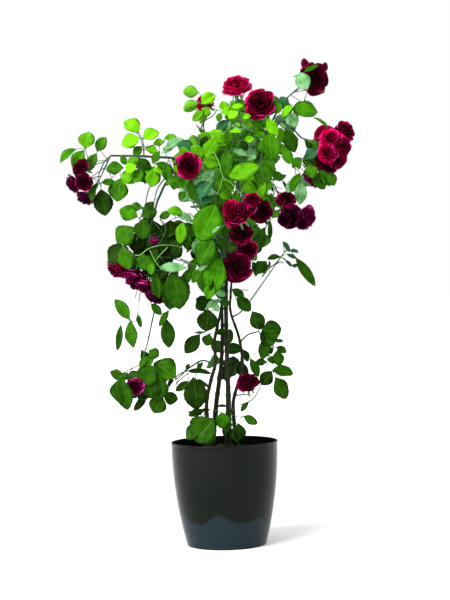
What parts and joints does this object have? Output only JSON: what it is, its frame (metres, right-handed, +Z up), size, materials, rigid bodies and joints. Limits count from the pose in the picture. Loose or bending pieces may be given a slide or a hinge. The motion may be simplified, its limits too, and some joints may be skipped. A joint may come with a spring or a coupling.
{
  "type": "potted rose bush",
  "caption": "Rose bush with crimson double blooms on slender arching canes, standing in soil in a tapered glossy plastic pot.",
  "frame": {"origin": "centre of the pot's flat underside, on the floor", "axes": "+Z up; -Y towards the viewer of the picture; +X to the viewer's right"},
  "size_m": [0.7099, 0.5562, 1.1696],
  "materials": {
    "pot": "glossy, near black with an olive tint",
    "soil": "dark moist compost",
    "bark": "dark green-brown rose bark",
    "foliage": "green leaves, with crimson petals"
  },
  "bodies": {
    "root": {"pot": "pot", "soil": "soil", "cane_main": "bark", "cane_left_inner": "bark", "cane_left_outer": "bark", "cane_right": "bark", "bough_far_left": "bark", "bough_far_left_tip": "bark", "bough_left": "bark", "bough_left_crest": "bark", "bough_left_low": "bark", "bough_hanging": "bark", "bough_top": "bark", "bough_top_left": "bark", "bough_top_back": "bark", "bough_top_right": "bark", "bough_right_upper": "bark", "bough_right_mid": "bark", "bough_right_low": "bark", "bough_front": "bark", "bough_front_left": "bark", "bough_front_low": "bark", "bough_back_left": "bark", "bough_back_right": "bark", "bough_back_low": "bark", "bough_right_thin": "bark", "bough_right_hang": "bark", "bough_low_left": "bark", "foliage_far_left": "foliage", "foliage_upper_left": "foliage", "foliage_left_upper": "foliage", "foliage_left_cluster": "foliage", "foliage_left_inner": "foliage", "foliage_left_fall": "foliage", "foliage_left_roses": "foliage", "foliage_low_left": "foliage", "foliage_top_left": "foliage", "foliage_top": "foliage", "foliage_top_right": "foliage", "foliage_right_upper": "foliage", "foliage_right_mid": "foliage", "foliage_right_low": "foliage", "foliage_front": "foliage", "foliage_front_low": "foliage", "foliage_front_left": "foliage", "foliage_crown": "foliage", "foliage_inner": "foliage", "foliage_back_left": "foliage", "foliage_back_right": "foliage", "foliage_back_low": "foliage", "foliage_top_back": "foliage", "foliage_right_thin": "foliage", "foliage_right_hang": "foliage", "foliage_stem_left": "foliage", "foliage_low_left_twig": "foliage", "foliage_low_left_stem": "foliage", "foliage_low_rose": "foliage", "foliage_foot_left": "foliage", "foliage_foot_right": "foliage", "foliage_low_back": "foliage"}
  },
  "joints": []
}
